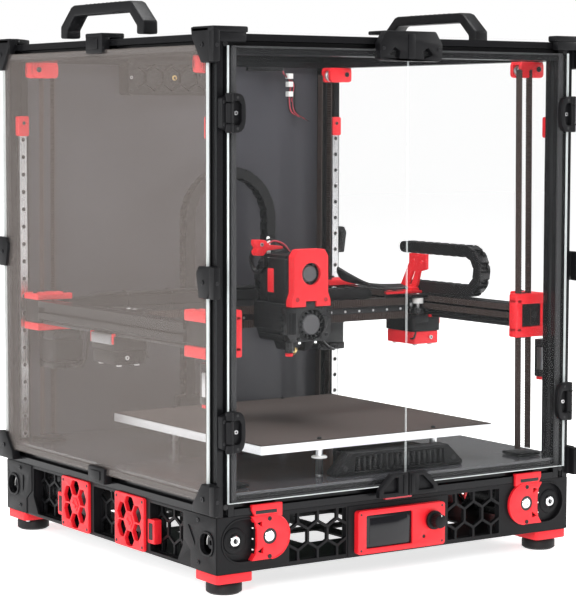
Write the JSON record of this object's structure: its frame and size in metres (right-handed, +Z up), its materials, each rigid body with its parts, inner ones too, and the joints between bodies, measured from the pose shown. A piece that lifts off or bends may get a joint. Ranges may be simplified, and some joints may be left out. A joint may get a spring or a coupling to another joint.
{
  "type": "fdm printer",
  "caption": "Enclosed cube 3-D printer: black slotted frame, clear doors, rising belt gantry with red print head, fixed bed, carry handles, rubber feet and a front control panel.",
  "frame": {"origin": "floor plane under the feet, at the centre of the overall footprint (doors shut)", "axes": "+X to the machine's right seen from the front, +Y towards the rear, +Z up"},
  "size_m": [0.4726, 0.4902, 0.6001],
  "materials": {
    "black_extrusion": "satin black anodised",
    "dark_panel": "satin",
    "smoked_panel": "gloss",
    "clear_panel": "gloss",
    "black_print": "fine horizontal layer lines",
    "red_print": "fine horizontal layer lines",
    "foot_rubber": "matte",
    "rail_steel": "ground",
    "aluminium_plate": "milled",
    "spring_sheet": "grainy polymer coat",
    "dark_rotor": "satin",
    "chain_plastic": "satin"
  },
  "bodies": {
    "cabinet": {"base_beam_front": "black_extrusion", "base_beam_left": "black_extrusion", "base_beam_rear": "black_extrusion", "base_beam_right": "black_extrusion", "bed_plate": "aluminium_plate", "build_sheet": "spring_sheet", "carry_handle_left": "black_print", "carry_handle_right": "black_print", "deck_panel": "dark_panel", "display_housing": "red_print", "filter_box": "black_print", "foot_front_left": "foot_rubber", "foot_front_right": "foot_rubber", "foot_rear_left": "foot_rubber", "foot_rear_right": "foot_rubber", "front_skirt": "black_print", "left_panel": "smoked_panel", "left_skirt": "black_print", "post_front_left": "black_extrusion", "post_front_right": "black_extrusion", "post_rear_left": "black_extrusion", "post_rear_right": "black_extrusion", "rear_panel": "dark_panel", "rear_skirt": "black_print", "right_panel": "clear_panel", "right_skirt": "black_print", "top_beam_front": "black_extrusion", "top_beam_left": "black_extrusion", "top_beam_rear": "black_extrusion", "top_beam_right": "black_extrusion", "top_panel": "clear_panel", "z_chain": "chain_plastic", "z_rail_front_left": "rail_steel", "z_rail_front_right": "rail_steel", "z_rail_rear_left": "rail_steel", "z_rail_rear_right": "rail_steel"},
    "left_door": {"left_door": "clear_panel", "left_door_handle": "black_print"},
    "right_door": {"right_door": "clear_panel", "right_door_handle": "black_print"},
    "gantry": {"gantry_beam_left": "black_extrusion", "gantry_beam_right": "black_extrusion", "gantry_beam_rear": "black_extrusion", "idler_block_left": "red_print", "idler_block_right": "red_print", "drive_block_left": "red_print", "drive_block_right": "red_print", "y_chain": "chain_plastic"},
    "cross_carriage": {"cross_beam": "black_extrusion", "joint_block_left": "black_print", "joint_block_right": "black_print", "x_chain": "chain_plastic"},
    "print_head": {"print_head_body": "black_print", "print_head_cowl": "red_print"},
    "part_fan": {"part_fan_rotor": "dark_rotor"},
    "hotend_fan": {"hotend_fan_rotor": "dark_rotor"},
    "skirt_fan_front": {"skirt_fan_rotor_front": "dark_rotor"},
    "skirt_fan_rear": {"skirt_fan_rotor_rear": "dark_rotor"},
    "encoder": {"encoder_shaft": "rail_steel"},
    "knob": {"control_knob": "black_print"}
  },
  "joints": [
    {"name": "left_door_hinge", "type": "hinge", "parent": "cabinet", "child": "left_door", "pos_m": [-0.222, -0.23165, 0.322], "axis": [0, 0, -1], "range_deg": [0, 110]},
    {"name": "right_door_hinge", "type": "hinge", "parent": "cabinet", "child": "right_door", "pos_m": [0.222, -0.23165, 0.322], "axis": [0, 0, 1], "range_deg": [0, 110]},
    {"name": "gantry_lift", "type": "slide", "parent": "cabinet", "child": "gantry", "axis": [0, 0, 1], "range_m": [-0.068, 0.2], "deforming": ["z_chain"]},
    {"name": "cross_travel", "type": "slide", "parent": "gantry", "child": "cross_carriage", "axis": [0, 1, 0], "range_m": [-0.144, 0.114], "deforming": ["y_chain"]},
    {"name": "head_travel", "type": "slide", "parent": "cross_carriage", "child": "print_head", "axis": [1, 0, 0], "range_m": [-0.133, 0.158], "deforming": ["x_chain"]},
    {"name": "part_fan_spin", "type": "hinge", "parent": "print_head", "child": "part_fan", "pos_m": [-0.009, -0.06195, 0.251], "axis": [0, -1, 0], "continuous": true},
    {"name": "hotend_fan_spin", "type": "hinge", "parent": "print_head", "child": "hotend_fan", "pos_m": [-0.0126, -0.06265, 0.3075], "axis": [0, -1, 0], "continuous": true},
    {"name": "skirt_fan_front_spin", "type": "hinge", "parent": "cabinet", "child": "skirt_fan_front", "pos_m": [-0.216, -0.05115, 0.052], "axis": [-1, 0, 0], "continuous": true},
    {"name": "skirt_fan_rear_spin", "type": "hinge", "parent": "cabinet", "child": "skirt_fan_rear", "pos_m": [-0.216, 0.06885, 0.052], "axis": [-1, 0, 0], "continuous": true},
    {"name": "encoder_push", "type": "slide", "parent": "cabinet", "child": "encoder", "axis": [0, 1, 0], "range_m": [0, 0.0005], "stiffness_N_per_m": 3000, "springref_m": -0.0003},
    {"name": "knob_turn", "type": "hinge", "parent": "encoder", "child": "knob", "pos_m": [0.035, -0.22945, 0.054], "axis": [0, -1, 0], "continuous": true}
  ]
}
